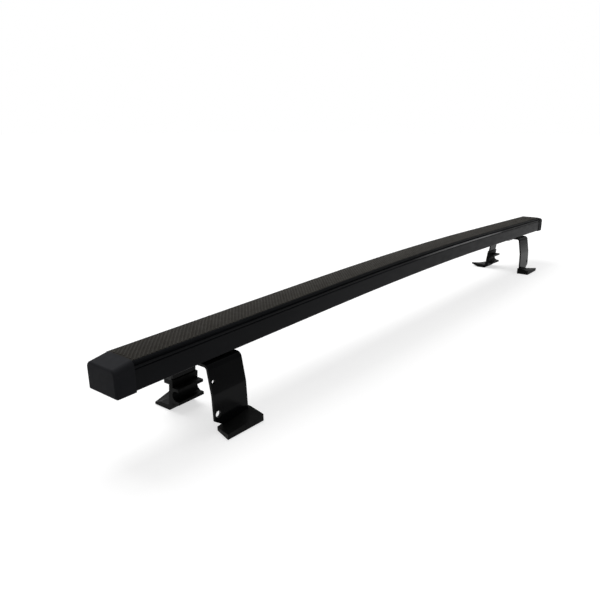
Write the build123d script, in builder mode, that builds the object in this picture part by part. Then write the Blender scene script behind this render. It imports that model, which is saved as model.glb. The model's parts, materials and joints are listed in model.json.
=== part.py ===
"""Roof rack crossbar: a bowed tube with a grip strip and end caps, on two bolted pairs of shod legs."""

import os
from math import cos, radians, sin, sqrt, tan

from build123d import *

# Bar: X runs along it, Y is rearward, Z is up from the ground that the shoes stand on
bar_length = 1200.0  # over the end caps
bar_width = 43.0
bar_height = 31.0  # underside to the crown of the tread
bow_angle = 1.29  # slope of the straight ends, in degrees
bow_half = 260.0  # half length of the curved middle
tube_wall = 2.2
bottom_corner = 1.5
shoulder_radius_rise = 1.5  # height of the rounded top edge
shoulder_inset = 2.6  # how far that edge comes in
lower_groove_width = 1.3
lower_groove_depth = 0.9
lower_groove_height = 21.9
upper_groove_width = 3.0
upper_groove_depth = 1.1
upper_groove_height = 26.6

# Tread strip in the top of the tube
tread_crown = 0.8  # rise of the middle over the edges
tread_proud = 0.3  # rise of the edges over the tube
tread_depth = 2.0  # depth of its recess
tread_undercut = 0.6
tread_clearance = 0.15

# End caps
cap_length = 22.0
cap_drop = 1.3  # how far the cap hangs below the tube
cap_flare = 0.8  # how far it stands out at each side
cap_taper = 3.6  # fall of its top towards the end
cap_wall = 2.5
cap_end_radius = 2.5
cap_top_radius = 6.0
cap_bottom_radius = 1.5
plug_length = 18.0
plug_wall = 2.0
plug_clearance = 0.2

# Legs
leg_height = 80.0  # underside of the tube to the ground
leg_from_end = 132.25
leg_thickness = 3.0
flange_bend = 5.0
flange_end = 17.0  # rear end of the front leg's flange, from the middle of the tube
rear_flange_end = 6.0  # front end of the rear leg's flange

front_leg_width = 50.0
front_leg_top = 23.5  # how far forward its upper bend is
front_leg_knee = 29.5
front_leg_foot = 31.0
front_knee_depth = 37.0
front_knee_radius = 18.0
front_tab_length = 15.5
front_tab_bend = 3.5
front_corner_cut = 22.0
front_corner_rise = 14.5
small_hole_diameter = 4.5
small_hole_inset = 4.5
small_hole_depth = 22.0  # below the tube
large_hole_diameter = 7.4
large_hole_inset = 5.3
large_hole_height = 21.5  # above the ground

rear_leg_width = 34.0
rear_leg_outboard = 0.75  # its middle from that of the front leg
rear_leg_top = 40.0
rear_leg_heel = 48.0
rear_tab_length = 16.5
rear_tab_bend = 5.0

# Shoes
shoe_cover = 2.3  # rubber under the steel tabs
shoe_clearance = 0.15
ground_trim = 1.5  # rubber that is cut off level with the ground
front_shoe_inboard = 29.0  # from the middle of the leg
front_shoe_outboard = 26.5
front_shoe_skew = 7.5  # how much shorter its outer end is at the back
front_shoe_toe = 3.5  # rubber ahead of the tab
front_shoe_back = 1.6  # rubber behind the leg
front_shoe_low = 6.8  # height of the front at the outer end
front_shoe_heel = 4.2  # height of the back there
front_shoe_high = 7.5  # height of the front at the inner end
front_shoe_collar = 11.5  # height against the leg at the inner end

rear_shoe_half = 19.0  # from the middle of the leg to each end
rear_shoe_skin = 1.4  # rubber on both faces of the leg
rear_shoe_height = 39.5
rear_shoe_toe = 18.0  # rubber behind the tab at the inner end
rear_toe_skew = 6.0  # how much shorter that is at the outer end
rear_toe_low = 0.0  # height of the tip's underside at the outer end
rear_toe_high = 5.5  # and at the inner end
rear_toe_tip = 3.0  # thickness of the tip
rear_heel_radius = 13.0
rear_ankle_radius = 4.0
rib_reach = 10.5
rib_thickness = 3.6
rib_spacing = 16.0
lower_rib_height = 13.0
lug_width = 8.0
lug_height = 6.0
lug_reach = 9.0

# Fasteners
bolt_diameter = 6.0
bolt_length = 20.0
bolt_spacing = 15.0
bolt_rear = 8.0  # behind the middle of the tube
bolt_clearance = 0.6  # on the diameter, through flanges and tube
thread_clearance = 0.2  # on the diameter, in the nut plate and washers
head_across_flats = 10.0
head_height = 4.0
washer_diameter = 12.0
washer_thickness = 1.6
lock_washer_diameter = 11.8
lock_washer_thickness = 1.6
lock_washer_split = 1.4
nut_plate_length = 36.0
nut_plate_width = 18.0
nut_plate_thickness = 5.0

# Heights and places that follow from them
slope = radians(bow_angle)
front_tab_tip = front_leg_foot + leg_thickness / 2 + front_tab_length
rear_tab_tip = rear_leg_heel + rear_tab_length
front_reach = front_tab_tip + front_shoe_toe
rear_reach = rear_tab_tip + rear_shoe_toe
bar_y = (front_reach - rear_reach) / 2
leg_x = bar_length / 2 - leg_from_end
leg_z = leg_height * cos(slope)
tube_end_x = bar_length / 2 - cap_length
tube_end_z = leg_z - (tube_end_x - leg_x) * tan(slope)
bend_z = leg_z + (leg_x - bow_half) * tan(slope)
bow_radius = bow_half / sin(slope)
middle_z = bend_z + bow_radius * (1 - cos(slope))

recess_mouth = bar_width / 2 - shoulder_inset
recess_base = recess_mouth + tread_undercut
shoulder_top = bar_height - tread_crown - tread_proud
recess_floor = shoulder_top - tread_depth
chamber_width = bar_width - 2 * tube_wall
chamber_height = recess_floor - 2 * tube_wall
tab_middle = -leg_height + shoe_cover + leg_thickness / 2
flange_stack = 2 * leg_thickness
bolt_head_top = -flange_stack - washer_thickness - lock_washer_thickness

# Planes of the right-hand end, tilted with the straight part of the bar
along = (cos(slope), 0, -sin(slope))
upright = (sin(slope), 0, cos(slope))
rearward = (0, 1, 0)
leg_origin = (leg_x, bar_y, leg_z)
leg_section = Plane(origin=leg_origin, x_dir=rearward, z_dir=along)
leg_face = Plane(origin=leg_origin, x_dir=along, z_dir=(0, -1, 0))
leg_plan = Plane(origin=leg_origin, x_dir=along, z_dir=upright)
cap_origin = (tube_end_x, bar_y, tube_end_z)
cap_side = Plane(origin=cap_origin, x_dir=along, z_dir=(0, -1, 0))
cap_section = Plane(origin=cap_origin, x_dir=rearward, z_dir=along)
rear_section = leg_section.offset(rear_leg_outboard)
bolt_places = [(-bolt_spacing / 2, bolt_rear), (bolt_spacing / 2, bolt_rear)]

# Middle lines of the two bent legs, rearward and upward from the middle of the tube's underside
front_line = [
    (flange_end, -flange_stack + leg_thickness / 2),
    (-front_leg_top, -flange_stack + leg_thickness / 2),
    (-front_leg_knee, -front_knee_depth),
    (-front_leg_foot, tab_middle),
    (-front_tab_tip, tab_middle),
]
front_bends = [flange_bend, front_knee_radius, front_tab_bend]
rear_line = [
    (-rear_flange_end, -leg_thickness / 2),
    (rear_leg_top, -leg_thickness / 2),
    (rear_leg_heel, tab_middle),
    (rear_tab_tip, tab_middle),
]
rear_bends = [flange_bend, rear_tab_bend]


def keep(piece, name):
    """Label a finished piece and write its file."""
    piece.part.label = name
    export_step(piece.part, f"parts/{name}.step")


def keep_pair(piece, name):
    """Keep a right-hand piece and its mirror image at the left end."""
    keep(piece, f"{name}_right")
    with BuildPart() as opposite:
        mirror(piece.part, about=Plane.YZ)
    keep(opposite, f"{name}_left")


os.makedirs("parts", exist_ok=True)

# Bowed line along the underside, straight at both ends
with BuildLine(Plane.XZ.offset(-bar_y)) as underside:
    Line((-tube_end_x, tube_end_z), (-bow_half, bend_z))
    ThreePointArc((-bow_half, bend_z), (0, middle_z), (bow_half, bend_z))
    Line((bow_half, bend_z), (tube_end_x, tube_end_z))

start_section = Plane(
    origin=(-tube_end_x, bar_y, tube_end_z),
    x_dir=rearward,
    z_dir=(cos(slope), 0, sin(slope)),
)

# Tube, with two grooves along each side and a recess for the tread
with BuildPart() as crossbar_tube:
    with BuildSketch(start_section) as tube_profile:
        side = bar_width / 2
        with BuildLine():
            Polyline(
                (0, 0),
                (side, 0),
                (side, lower_groove_height - lower_groove_width / 2),
                (side - lower_groove_depth, lower_groove_height - lower_groove_width / 2),
                (side - lower_groove_depth, lower_groove_height + lower_groove_width / 2),
                (side, lower_groove_height + lower_groove_width / 2),
                (side, upper_groove_height - upper_groove_width / 2),
                (side - upper_groove_depth, upper_groove_height - upper_groove_width / 2),
                (side - upper_groove_depth, upper_groove_height + upper_groove_width / 2),
                (side, upper_groove_height + upper_groove_width / 2),
                (side, shoulder_top - shoulder_radius_rise),
            )
            TangentArc(
                (side, shoulder_top - shoulder_radius_rise),
                (recess_mouth, shoulder_top),
                tangent=(0, 1),
            )
            Polyline((recess_mouth, shoulder_top), (recess_base, recess_floor), (0, recess_floor))
            mirror(about=Plane.YZ)
        make_face()
        fillet(tube_profile.vertices().group_by(Axis.Y)[0], bottom_corner)
        with Locations((0, tube_wall + chamber_height / 2)):
            RectangleRounded(chamber_width, chamber_height, bottom_corner, mode=Mode.SUBTRACT)
    sweep(path=underside.line)
    for end in (-1, 1):
        drilled_plane = Plane(
            origin=(end * leg_x, bar_y, leg_z),
            x_dir=(end * cos(slope), 0, -sin(slope)),
            z_dir=(end * sin(slope), 0, cos(slope)),
        )
        with BuildSketch(drilled_plane):
            with Locations(*[(x, end * y) for x, y in bolt_places]):
                Circle((bolt_diameter + bolt_clearance) / 2)
        extrude(amount=2 * tube_wall, both=True, mode=Mode.SUBTRACT)
keep(crossbar_tube, "crossbar_tube")

# Crowned tread strip, dovetailed into the recess
with BuildPart() as tread_strip:
    with BuildSketch(start_section):
        mouth = recess_mouth - tread_clearance
        base = recess_base - tread_clearance
        edge = shoulder_top + tread_proud
        with BuildLine():
            Polyline((-mouth, edge), (-mouth, shoulder_top), (-base, recess_floor))
            Line((-base, recess_floor), (base, recess_floor))
            Polyline((base, recess_floor), (mouth, shoulder_top), (mouth, edge))
            ThreePointArc((mouth, edge), (0, bar_height), (-mouth, edge))
        make_face()
    sweep(path=underside.line)
keep(tread_strip, "tread_strip")

# End cap, a hollow moulding with a plug inside the tube
with BuildPart() as end_cap:
    with BuildSketch(cap_side):
        with BuildLine():
            Polyline(
                (0, -cap_drop),
                (cap_length, -cap_drop),
                (cap_length, bar_height - cap_taper),
                (0, bar_height),
                close=True,
            )
        make_face()
    extrude(amount=bar_width / 2 + cap_flare, both=True)
    end_axis = Axis(cap_origin, along)
    long_edges = end_cap.faces().sort_by(Axis.Z)[-1].edges().filter_by(Axis.Y, reverse=True)
    fillet(long_edges, cap_top_radius)
    low_edges = end_cap.faces().sort_by(Axis.Z)[0].edges().filter_by(Axis.Y, reverse=True)
    fillet(low_edges, cap_bottom_radius)
    fillet(end_cap.faces().sort_by(end_axis)[-1].edges(), cap_end_radius)
    with BuildSketch(cap_section):
        with Locations((0, tube_wall + chamber_height / 2)):
            RectangleRounded(
                chamber_width - 2 * plug_clearance,
                chamber_height - 2 * plug_clearance,
                bottom_corner,
            )
    extrude(amount=-plug_length)
    with BuildSketch(cap_section.offset(-plug_length)):
        with Locations((0, tube_wall + chamber_height / 2)):
            Rectangle(
                chamber_width - 2 * plug_clearance - 2 * plug_wall,
                chamber_height - 2 * plug_clearance - 2 * plug_wall,
            )
    extrude(amount=plug_length + cap_length - cap_wall, mode=Mode.SUBTRACT)
keep_pair(end_cap, "end_cap")


def front_strap(gap):
    """Front leg without its holes, or the room that its shoe leaves for it, larger by a gap all round."""
    tip = (-front_tab_tip - gap, tab_middle)
    with BuildPart() as strap:
        with BuildSketch(leg_section):
            with BuildLine() as path:
                FilletPolyline(*front_line[:-1], tip, radius=front_bends)
            trace(lines=path.line, line_width=leg_thickness + 2 * gap)
        extrude(amount=front_leg_width / 2 + gap, both=True)
        with BuildSketch(leg_face.offset(front_leg_knee - 2 * leg_thickness)):
            with Locations((front_leg_width / 2 + gap, -leg_height)):
                Polygon((0, 0), (-front_corner_cut, 0), (0, front_corner_rise), align=None)
        extrude(amount=front_reach, mode=Mode.SUBTRACT)
    return strap


def rear_strap(gap):
    """Rear leg without its holes, or the room that its shoe leaves for it, larger by a gap all round."""
    tip = (rear_tab_tip + gap, tab_middle)
    with BuildPart() as strap:
        with BuildSketch(rear_section):
            with BuildLine() as path:
                FilletPolyline(*rear_line[:-1], tip, radius=rear_bends)
            trace(lines=path.line, line_width=leg_thickness + 2 * gap)
        extrude(amount=rear_leg_width / 2 + gap, both=True)
    return strap


front_blank = front_strap(0)
front_room = front_strap(shoe_clearance)
rear_blank = rear_strap(0)
rear_room = rear_strap(shoe_clearance)

# Front leg, a bent strap with its flange on top and its foot tab pointing forward
with BuildPart() as front_leg:
    add(front_blank.part)
    with BuildSketch(leg_face):
        with Locations((front_leg_width / 2 - small_hole_inset, -small_hole_depth)):
            Circle(small_hole_diameter / 2)
        with Locations((front_leg_width / 2 - large_hole_inset, large_hole_height - leg_height)):
            Circle(large_hole_diameter / 2)
    extrude(amount=front_tab_tip, mode=Mode.SUBTRACT)
    with BuildSketch(leg_plan):
        with Locations(*bolt_places):
            Circle((bolt_diameter + bolt_clearance) / 2)
    extrude(amount=-2 * flange_stack, mode=Mode.SUBTRACT)
keep_pair(front_leg, "front_leg")

# Rear leg, its flange between the tube and the front leg's, its foot tab pointing rearward
with BuildPart() as rear_leg:
    add(rear_blank.part)
    with BuildSketch(leg_plan):
        with Locations(*bolt_places):
            Circle((bolt_diameter + bolt_clearance) / 2)
    extrude(amount=-2 * flange_stack, mode=Mode.SUBTRACT)
keep_pair(rear_leg, "rear_leg")

# Front shoe, a wedge that is taller at its inner end, with a collar against the leg
shoe_back = -front_leg_foot + leg_thickness / 2 + front_shoe_back
shoe_collar = -front_leg_foot - leg_thickness / 2
with BuildPart() as front_shoe:
    for place, front_height, back_height in (
        (front_shoe_outboard, front_shoe_low, front_shoe_heel),
        (-front_shoe_inboard, front_shoe_high, front_shoe_collar),
    ):
        with BuildSketch(leg_section.offset(place)):
            with BuildLine():
                Polyline(
                    (shoe_back, -leg_height - ground_trim),
                    (-front_reach, -leg_height - ground_trim),
                    (-front_reach, -leg_height + front_height),
                    (shoe_collar, -leg_height + back_height),
                    (shoe_back, -leg_height + back_height),
                    close=True,
                )
            make_face()
    loft(ruled=True)
    add(front_room.part, mode=Mode.SUBTRACT)
    with BuildSketch(leg_plan):
        Polygon(
            (front_shoe_outboard, -front_reach),
            (front_shoe_outboard, shoe_back),
            (front_shoe_outboard - front_shoe_skew, shoe_back),
            align=None,
        )
    extrude(amount=-2 * leg_height, mode=Mode.SUBTRACT)
    split(bisect_by=Plane.XY)
keep_pair(front_shoe, "front_shoe")

# Rear shoe, an L with two forward ribs, a round gap between them and a toe that rises inboard
lean = (rear_leg_heel - rear_leg_top) / (-leg_thickness / 2 - tab_middle)
shoe_top = -leg_height + rear_shoe_height
foot_top = tab_middle + leg_thickness / 2 + rear_shoe_skin
skin = leg_thickness / 2 + rear_shoe_skin
toe_root = rear_tab_tip + rear_shoe_skin
gap_middle = -leg_height + lower_rib_height + rib_spacing / 2
top_y = rear_leg_heel - lean * (shoe_top - tab_middle)
gap_y = rear_leg_heel - lean * (gap_middle - tab_middle) - skin
with BuildPart() as rear_shoe:
    with BuildSketch(rear_section.offset(-rear_shoe_half)) as shoe_profile:
        with BuildLine():
            Polyline(
                (rear_leg_heel - skin, -leg_height - ground_trim),
                (toe_root, -leg_height - ground_trim),
                (toe_root, foot_top),
                (rear_leg_heel + skin, foot_top),
                (top_y + skin, shoe_top),
                (top_y - skin, shoe_top),
                close=True,
            )
        make_face()
        heel = shoe_profile.vertices().group_by(Axis.Y)[0].sort_by(Axis.X)[0]
        fillet(heel, rear_heel_radius)
        ankle = shoe_profile.vertices().sort_by_distance((rear_leg_heel + skin, foot_top))[0]
        fillet(ankle, rear_ankle_radius)
        with Locations((gap_y - rib_reach / 2 + skin / 2, gap_middle)):
            Rectangle(rib_reach + skin, rib_spacing + rib_thickness)
        round_gap = (rib_spacing - rib_thickness) / 2
        with Locations((gap_y - round_gap, gap_middle)):
            Circle(round_gap, mode=Mode.SUBTRACT)
        with Locations((gap_y - rib_reach, gap_middle)):
            Rectangle(2 * (rib_reach - round_gap), 2 * round_gap, mode=Mode.SUBTRACT)
    extrude(amount=2 * rear_shoe_half)
    with BuildSketch(rear_section.offset(rear_shoe_half - lug_width)):
        with Locations((top_y, shoe_top - lug_height / 2)):
            Rectangle(skin + lug_reach, lug_height, align=(Align.MIN, Align.CENTER))
    extrude(amount=lug_width)
    for place, toe_reach, toe_rise in (
        (rear_shoe_half, rear_reach - rear_toe_skew, rear_toe_low),
        (-rear_shoe_half, rear_reach, rear_toe_high),
    ):
        with BuildSketch(rear_section.offset(place)):
            with BuildLine():
                Polyline(
                    (toe_root, -leg_height - ground_trim),
                    (toe_reach, -leg_height + toe_rise),
                    (toe_reach, -leg_height + toe_rise + rear_toe_tip),
                    (toe_root, foot_top),
                    close=True,
                )
            make_face()
    loft(ruled=True)
    add(rear_room.part, mode=Mode.SUBTRACT)
    split(bisect_by=Plane.XY)
keep_pair(rear_shoe, "rear_shoe")

# Nut plate inside the tube
with BuildPart() as nut_plate:
    with BuildSketch(leg_plan.offset(tube_wall)):
        with Locations((0, bolt_rear)):
            Rectangle(nut_plate_length, nut_plate_width)
        with Locations(*bolt_places):
            Circle((bolt_diameter + thread_clearance) / 2, mode=Mode.SUBTRACT)
    extrude(amount=nut_plate_thickness)
keep_pair(nut_plate, "nut_plate")

# Two hexagon bolts, their heads below the flanges
with BuildPart() as leg_bolts:
    with BuildSketch(leg_plan.offset(bolt_head_top)):
        with Locations(*bolt_places):
            Circle(bolt_diameter / 2)
    extrude(amount=bolt_length)
    with BuildSketch(leg_plan.offset(bolt_head_top)):
        with Locations(*bolt_places):
            RegularPolygon(head_across_flats / sqrt(3), side_count=6)
    extrude(amount=-head_height)
keep_pair(leg_bolts, "leg_bolts")

# Flat washers against the front leg's flange
with BuildPart() as washers:
    with BuildSketch(leg_plan.offset(-flange_stack)):
        with Locations(*bolt_places):
            Circle(washer_diameter / 2)
            Circle((bolt_diameter + thread_clearance) / 2, mode=Mode.SUBTRACT)
    extrude(amount=-washer_thickness)
keep_pair(washers, "washers")

# Split lock washers between them and the bolt heads
with BuildPart() as lock_washers:
    with BuildSketch(leg_plan.offset(-flange_stack - washer_thickness)):
        with Locations(*bolt_places):
            Circle(lock_washer_diameter / 2)
            Circle((bolt_diameter + thread_clearance) / 2, mode=Mode.SUBTRACT)
        with Locations(*[(x, y + lock_washer_diameter / 2) for x, y in bolt_places]):
            Rectangle(lock_washer_split, lock_washer_diameter - bolt_diameter, mode=Mode.SUBTRACT)
    extrude(amount=-lock_washer_thickness)
keep_pair(lock_washers, "lock_washers")
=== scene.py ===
"""Looks of the roof rack crossbar: finishes for the CAD nodes, fine ribs on the tread and a pale studio."""

import json
from math import cos, radians, sin, tan

import bpy
from mathutils import Matrix, Vector
from mathutils.bvhtree import BVHTree


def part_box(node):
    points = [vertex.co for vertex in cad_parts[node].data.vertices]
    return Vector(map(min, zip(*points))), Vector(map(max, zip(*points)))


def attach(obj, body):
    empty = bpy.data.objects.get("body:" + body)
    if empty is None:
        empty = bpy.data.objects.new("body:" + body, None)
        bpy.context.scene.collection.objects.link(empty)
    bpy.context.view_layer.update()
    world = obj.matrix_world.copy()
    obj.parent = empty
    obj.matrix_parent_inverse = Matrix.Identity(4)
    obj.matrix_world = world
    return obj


# Tread ribs, in metres
RIB_PITCH = 0.0052  # along the bar
RIB_ANGLE = radians(44.0)  # from the bar's length towards the rear
RIB_BASE = 0.0021
RIB_CREST = 0.0013
RIB_HEIGHT = 0.0004
RIB_ROOT = 0.0002  # how far a rib goes into the strip
RIB_MARGIN = 0.0009  # plain edge of the strip
RIB_STATIONS = 7  # sections along a rib
RIB_PROBE = 0.01  # height above the strip from which its crown is looked for

# Bow of the bar, in metres
BOW_HALF = 0.26  # half length of the curved middle
BOW_SLOPE = radians(1.29)  # of the straight ends

# Gloss of the tube's coating, in metres apart from the two gloss levels
RECESS_DEPTH = 0.0009  # dull from this depth under the flat sides inward
RECESS_EDGE = 0.0002  # full gloss down to this depth
RECESS_GLOSS = 0.004
LOWER_GROOVE = 0.0080  # middle of each groove, below the top of the tube
UPPER_GROOVE = 0.0033
GROOVE_EDGE = 0.0003  # the gloss fades this far to each side of that middle
LAND_GLOSS = 1.1  # added on the land between the grooves, where it shows a light line
LAND_START = (-0.04, 0.19)  # X over which the added gloss comes in
LAND_END = (0.34, 0.26)  # and over which it goes out

# Noise of the finishes
CLOUD_NOISE = (28.0, 4.0)  # waves per metre and levels of detail
GLOSS_NOISE = (160.0, 5.0)
GRAIN_DETAIL = 3.0
GRAIN_STRENGTH = 0.6  # of the bump
NOISE_RANGE = (0.3, 0.7)  # of the noise, spread over a finish's tones or roughness

# Camera, fitted to the photograph
CAMERA_PLACE = Vector((-0.87862, -0.47113, 0.31220))
CAMERA_YAW = radians(51.41)  # from +Y towards +X
CAMERA_PITCH = radians(16.12)  # downward
CAMERA_CLIP = (0.01, 200.0)
SENSOR_WIDTH = 36.0
LENS = 35.60

# Studio
WHITE = (1.0, 1.0, 1.0, 1.0)
FLOOR_DROP = 0.0005  # below the soles
FLOOR_SIZE = 60.0
FLOOR_COLOUR = (0.55, 0.55, 0.55, 1.0)
FLOOR_ROUGHNESS = 0.9
FLOOR_REACH = (0.3, 2.2)  # from the origin
FLOOR_WHITE = (0.6, 0.87)  # added over that reach where the camera or a reflection sees the floor
FLOOR_SWEEP = (-0.40, -0.30)  # Y over which the floor turns from dark to white in reflections
FLOOR_EDGE = (-0.318, -0.294)  # the same at X = 0 for a second edge, mirrored by the near front strap
FLOOR_TURN = 0.2  # slant of the second edge
WORLD_SWEEP = (-0.15, 0.25)  # Y of the direction over which the world turns white in reflections
AMBIENT = 0.3
LAMPS = {  # place, the point it faces, size and power
    "overhead": ((0.0, 0.9, 2.5), (0.0, 0.0, 0.0), 2.2, 50.0),
    "key": ((-1.6, -1.9, 1.5), (-0.2, 0.0, 0.08), 1.4, 2.0),
}

# Patches of painted shade on the floor by the shoes, dark in reflections only: middle, and from there start
# and end of the fade
SHADE_ALONG = (0.458, 0.039, 0.044)
SHADE_ACROSS = (0.0955, 0.0125, 0.0165)

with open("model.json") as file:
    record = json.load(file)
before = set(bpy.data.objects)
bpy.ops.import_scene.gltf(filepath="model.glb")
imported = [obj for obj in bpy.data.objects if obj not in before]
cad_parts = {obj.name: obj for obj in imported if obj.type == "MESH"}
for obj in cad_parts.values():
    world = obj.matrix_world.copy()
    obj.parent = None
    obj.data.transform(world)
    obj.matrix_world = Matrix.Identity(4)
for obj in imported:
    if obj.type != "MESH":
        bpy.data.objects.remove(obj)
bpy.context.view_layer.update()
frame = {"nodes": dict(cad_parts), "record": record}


def feed(tree, entry, value):
    """Give an input a number, or link another node's output to it."""
    if isinstance(value, bpy.types.NodeSocket):
        tree.links.new(value, entry)
    else:
        entry.default_value = value


def worked_out(tree, operation, *values):
    """A value worked out from others, each of them a number or an output."""
    node = tree.nodes.new("ShaderNodeMath")
    node.operation = operation
    for entry, value in zip(node.inputs, values):
        feed(tree, entry, value)
    return node.outputs["Value"]


def ramp(tree, value, start, end, low=0.0, high=1.0):
    """Goes from low to high while a value goes from start to end."""
    node = tree.nodes.new("ShaderNodeMapRange")
    for entry, given in (
        ("Value", value),
        ("From Min", start),
        ("From Max", end),
        ("To Min", low),
        ("To Max", high),
    ):
        feed(tree, node.inputs[entry], given)
    return node.outputs["Result"]


def axes_of(tree, vector):
    """X, Y and Z of a vector."""
    node = tree.nodes.new("ShaderNodeSeparateXYZ")
    feed(tree, node.inputs["Vector"], vector)
    return [node.outputs[axis] for axis in "XYZ"]


def noise(tree, place, scale, detail):
    """Noise over a place in metres."""
    node = tree.nodes.new("ShaderNodeTexNoise")
    for entry, given in (("Vector", place), ("Scale", scale), ("Detail", detail)):
        feed(tree, node.inputs[entry], given)
    return node.outputs["Fac"]


def tinted(tree, value, dark, light):
    """Noise turned into a blend of two near colours."""
    node = tree.nodes.new("ShaderNodeValToRGB")
    for stop, position, colour in zip(node.color_ramp.elements, NOISE_RANGE, (dark, light)):
        stop.position = position
        stop.color = (*colour, 1.0)
    feed(tree, node.inputs["Fac"], value)
    return node.outputs["Color"]


def finish_of(name, dark, light, rough, specular, grain, relief, stretch=(1, 1, 1), metallic=0.0):
    """A material with cloudy tone, uneven gloss and a fine grain."""
    material = bpy.data.materials.new(name)
    material.use_nodes = True
    tree = material.node_tree
    shader = tree.nodes["Principled BSDF"]
    coordinates = tree.nodes.new("ShaderNodeTexCoord")
    mapping = tree.nodes.new("ShaderNodeMapping")
    feed(tree, mapping.inputs["Vector"], coordinates.outputs["Object"])
    feed(tree, mapping.inputs["Scale"], stretch)
    place = mapping.outputs["Vector"]
    bump = tree.nodes.new("ShaderNodeBump")
    feed(tree, bump.inputs["Strength"], GRAIN_STRENGTH)
    feed(tree, bump.inputs["Distance"], relief)
    feed(tree, bump.inputs["Height"], noise(tree, place, grain, GRAIN_DETAIL))
    for entry, given in (
        ("Base Color", tinted(tree, noise(tree, place, *CLOUD_NOISE), dark, light)),
        ("Roughness", ramp(tree, noise(tree, place, *GLOSS_NOISE), *NOISE_RANGE, *rough)),
        ("Metallic", metallic),
        ("Specular IOR Level", specular),
        ("Normal", bump.outputs["Normal"]),
    ):
        feed(tree, shader.inputs[entry], given)
    return material


materials = {
    "bar_coating": finish_of(
        "satin black coating", (0.0066, 0.0071, 0.0082), (0.0092, 0.0097, 0.0110),
        rough=(0.32, 0.42), specular=0.045, grain=2200.0, relief=0.00002, stretch=(0.25, 1, 1),
    ),
    "tread_rubber": finish_of(
        "tread rubber", (0.0170, 0.0153, 0.0126), (0.0222, 0.0200, 0.0165),
        rough=(0.55, 0.68), specular=0.03, grain=2600.0, relief=0.00005,
    ),
    "cap_plastic": finish_of(
        "grained cap plastic", (0.0172, 0.0177, 0.0200), (0.0214, 0.0220, 0.0246),
        rough=(0.44, 0.54), specular=0.019, grain=1900.0, relief=0.00005,
    ),
    "leg_coating": finish_of(
        "gloss black paint", (0.0026, 0.0029, 0.0033), (0.0038, 0.0041, 0.0046),
        rough=(0.1, 0.17), specular=0.06, grain=420.0, relief=0.00006,
    ),
    "shoe_rubber": finish_of(
        "smooth black rubber", (0.0026, 0.0028, 0.0027), (0.0045, 0.0047, 0.0045),
        rough=(0.46, 0.58), specular=0.055, grain=1300.0, relief=0.00005,
    ),
    "plated_steel": finish_of(
        "zinc plated steel", (0.42, 0.42, 0.43), (0.52, 0.52, 0.53),
        rough=(0.3, 0.42), specular=0.5, grain=900.0, relief=0.00003, metallic=1.0,
    ),
}
# The rib crests get a lighter tone than the strip they stand on
crest_rubber = finish_of(
    "lighter tread crests", (0.0216, 0.0195, 0.0161), (0.0284, 0.0256, 0.0212),
    rough=(0.5, 0.62), specular=0.04, grain=2600.0, relief=0.00005,
)


def shape_gloss(material):
    """Dull the tube's grooves, shoulders and underside, and brighten a stretch of the land."""
    low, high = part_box("crossbar_tube")
    tree = material.node_tree
    gloss = tree.nodes["Principled BSDF"].inputs["Specular IOR Level"]
    coordinates = tree.nodes.new("ShaderNodeTexCoord")
    x, y, z = axes_of(tree, coordinates.outputs["Object"])
    along = worked_out(tree, "ABSOLUTE", x)
    bent = worked_out(tree, "MINIMUM", along, BOW_HALF)
    straight = worked_out(tree, "SUBTRACT", along, bent)
    squared = worked_out(tree, "POWER", bent, 2.0)
    arc_fall = worked_out(tree, "MULTIPLY", squared, sin(BOW_SLOPE) / (2 * BOW_HALF))
    fall = worked_out(tree, "MULTIPLY_ADD", straight, tan(BOW_SLOPE), arc_fall)
    depth = worked_out(tree, "SUBTRACT", high.z, worked_out(tree, "ADD", z, fall))
    line = ramp(tree, depth, LOWER_GROOVE + GROOVE_EDGE, LOWER_GROOVE - GROOVE_EDGE)
    for value, start, end in (
        (depth, UPPER_GROOVE - GROOVE_EDGE, UPPER_GROOVE + GROOVE_EDGE),
        (x, *LAND_START),
        (x, *LAND_END),
    ):
        line = worked_out(tree, "MULTIPLY", line, ramp(tree, value, start, end))
    shine = worked_out(tree, "MULTIPLY_ADD", line, LAND_GLOSS, gloss.default_value)
    aside = worked_out(tree, "ABSOLUTE", worked_out(tree, "SUBTRACT", y, (low.y + high.y) / 2))
    side = (high.y - low.y) / 2
    feed(tree, gloss, ramp(tree, aside, side - RECESS_DEPTH, side - RECESS_EDGE, RECESS_GLOSS, shine))


shape_gloss(materials["bar_coating"])

slot_of = {part["node"]: part["material_slot"] for part in frame["record"]["subparts"]}
for name, node in frame["nodes"].items():
    node.material_slots[0].material = materials[slot_of[name]]


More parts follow.
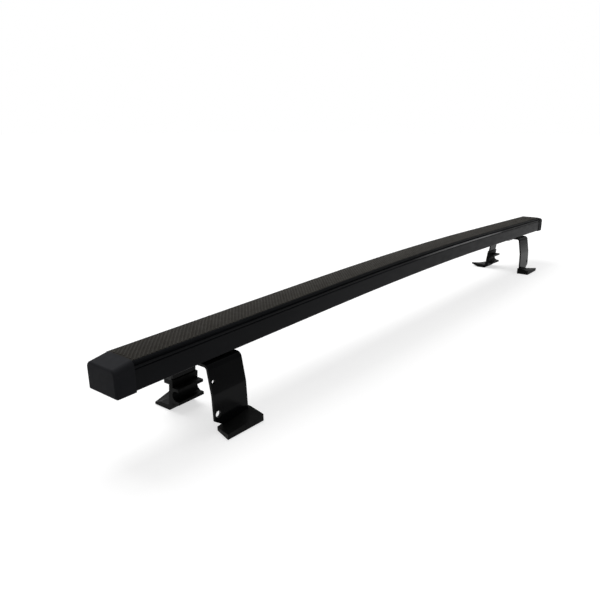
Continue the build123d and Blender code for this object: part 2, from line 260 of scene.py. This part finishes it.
def tread_ribs():
    """Fine slanting ribs that lie on the crown of the tread strip and follow its bow."""
    strip = frame["nodes"]["tread_strip"].data
    tree = BVHTree.FromPolygons(
        [v.co for v in strip.vertices], [p.vertices for p in strip.polygons]
    )
    low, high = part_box("tread_strip")
    front, rear = low.y + RIB_MARGIN, high.y - RIB_MARGIN
    left, right = low.x + 2 * RIB_MARGIN, high.x - 2 * RIB_MARGIN
    across = Vector((-sin(RIB_ANGLE), cos(RIB_ANGLE), 0.0))
    slant = (rear - front) * cos(RIB_ANGLE) / sin(RIB_ANGLE)
    section = [
        (-RIB_BASE / 2, -RIB_ROOT),
        (RIB_BASE / 2, -RIB_ROOT),
        (RIB_CREST / 2, RIB_HEIGHT),
        (-RIB_CREST / 2, RIB_HEIGHT),
    ]
    corners = len(section)
    points, faces = [], []
    count = int((right - left + slant) / RIB_PITCH)
    for rib in range(count):
        start_x = left - slant + (rib + 0.5) * RIB_PITCH
        first = max(0.0, (left - start_x) / slant)
        last = min(1.0, (right - start_x) / slant)
        if (last - first) * slant < 2 * RIB_BASE:
            continue
        base = len(points)
        for station in range(RIB_STATIONS):
            share = first + (last - first) * station / (RIB_STATIONS - 1)
            spot = Vector((start_x + share * slant, front + share * (rear - front), high.z))
            hit = tree.ray_cast(spot + Vector((0, 0, RIB_PROBE)), Vector((0, 0, -1)))[0]
            points += [hit + across * side + Vector((0, 0, rise)) for side, rise in section]
        for station in range(RIB_STATIONS - 1):
            here = base + corners * station
            there = here + corners
            for corner in range(corners):
                beside = (corner + 1) % corners
                faces.append((here + corner, here + beside, there + beside, there + corner))
        end = base + corners * (RIB_STATIONS - 1)
        faces.append([base + corner for corner in reversed(range(corners))])
        faces.append([end + corner for corner in range(corners)])
    mesh = bpy.data.meshes.new("tread_ribs")
    mesh.from_pydata(points, [], faces)
    mesh.update()
    mesh.materials.append(crest_rubber)
    ribs = bpy.data.objects.new("tread_ribs", mesh)
    bpy.context.scene.collection.objects.link(ribs)
    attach(ribs, "root")


tread_ribs()


def seen(tree, mirrored):
    """1 for what the camera sees, and a given share of it for reflections."""
    path = tree.nodes.new("ShaderNodeLightPath").outputs
    direct = worked_out(tree, "MAXIMUM", path["Is Camera Ray"], path["Is Transmission Ray"])
    reflected = worked_out(tree, "MULTIPLY", path["Is Glossy Ray"], mirrored)
    return worked_out(tree, "MAXIMUM", direct, reflected)


def outside(tree, value, middle, start, end):
    """Goes from 0 to 1 on the way out from a middle and from its mirror image."""
    away = worked_out(tree, "SUBTRACT", worked_out(tree, "ABSOLUTE", value), middle)
    return ramp(tree, worked_out(tree, "ABSOLUTE", away), start, end)


def pale_floor():
    """A floor that keeps the shadow and is otherwise as white as the background, with painted shade that
    only reflections see.
    """
    half = FLOOR_SIZE / 2
    mesh = bpy.data.meshes.new("floor")
    mesh.from_pydata(
        [(x, y, -FLOOR_DROP) for x, y in ((-half, -half), (half, -half), (half, half), (-half, half))],
        [],
        [(0, 1, 2, 3)],
    )
    floor = bpy.data.objects.new("floor", mesh)
    bpy.context.scene.collection.objects.link(floor)
    material = bpy.data.materials.new("pale floor")
    material.use_nodes = True
    mesh.materials.append(material)
    tree = material.node_tree
    shader = tree.nodes["Principled BSDF"]
    spot = tree.nodes.new("ShaderNodeNewGeometry").outputs["Position"]
    along, across = axes_of(tree, spot)[:2]
    distance = tree.nodes.new("ShaderNodeVectorMath")
    distance.operation = "LENGTH"
    feed(tree, distance.inputs["Vector"], spot)
    white = ramp(tree, distance.outputs["Value"], *FLOOR_REACH, *FLOOR_WHITE)
    # Painted shade seen in reflections alone: the floor is dark beyond the sweep and the slanted edge, and
    # in the patches by the shoes
    swept = ramp(tree, across, *FLOOR_SWEEP)
    turned = worked_out(tree, "MULTIPLY_ADD", along, FLOOR_TURN, across)
    lit = worked_out(tree, "MULTIPLY", swept, ramp(tree, turned, *FLOOR_EDGE))
    beyond = outside(tree, along, *SHADE_ALONG)
    beside = outside(tree, across, *SHADE_ACROSS)
    mirrored = worked_out(tree, "MULTIPLY", lit, worked_out(tree, "MAXIMUM", beyond, beside))
    for entry, given in (
        ("Base Color", FLOOR_COLOUR),
        ("Roughness", FLOOR_ROUGHNESS),
        ("Specular IOR Level", 0.0),
        ("Emission Color", WHITE),
        ("Emission Strength", worked_out(tree, "MULTIPLY", white, seen(tree, mirrored))),
    ):
        feed(tree, shader.inputs[entry], given)


def white_world():
    """White where it is seen and where the rear half is reflected, a softer ambient light elsewhere."""
    world = bpy.data.worlds.new("studio")
    world.use_nodes = True
    bpy.context.scene.world = world
    tree = world.node_tree
    background = tree.nodes["Background"]
    direction = tree.nodes.new("ShaderNodeTexCoord").outputs["Generated"]
    rearward = axes_of(tree, direction)[1]
    white = seen(tree, ramp(tree, rearward, *WORLD_SWEEP))
    feed(tree, background.inputs["Color"], WHITE)
    feed(tree, background.inputs["Strength"], ramp(tree, white, 0.0, 1.0, AMBIENT, 1.0))


def soft_lamp(name, place, target, size, power):
    """A square area lamp turned towards a point."""
    data = bpy.data.lights.new(name, "AREA")
    data.shape = "SQUARE"
    data.size = size
    data.energy = power
    lamp = bpy.data.objects.new(name, data)
    lamp.location = place
    lamp.rotation_euler = (Vector(target) - Vector(place)).to_track_quat("-Z", "Y").to_euler()
    bpy.context.scene.collection.objects.link(lamp)


def photo_camera():
    """The camera that the photograph was taken from, as fitted to its edges."""
    level = cos(CAMERA_PITCH)
    forward = Vector((sin(CAMERA_YAW) * level, cos(CAMERA_YAW) * level, -sin(CAMERA_PITCH)))
    right = Vector((cos(CAMERA_YAW), -sin(CAMERA_YAW), 0.0))
    up = right.cross(forward)
    data = bpy.data.cameras.new("camera")
    data.sensor_width = SENSOR_WIDTH
    data.lens = LENS
    data.clip_start, data.clip_end = CAMERA_CLIP
    camera = bpy.data.objects.new("camera", data)
    turn = Matrix((right, up, -forward)).transposed().to_4x4()
    camera.matrix_world = Matrix.Translation(CAMERA_PLACE) @ turn
    bpy.context.scene.collection.objects.link(camera)
    bpy.context.scene.camera = camera


pale_floor()
white_world()
for name, settings in LAMPS.items():
    soft_lamp(name, *settings)
photo_camera()
bpy.context.scene.view_settings.view_transform = "Standard"
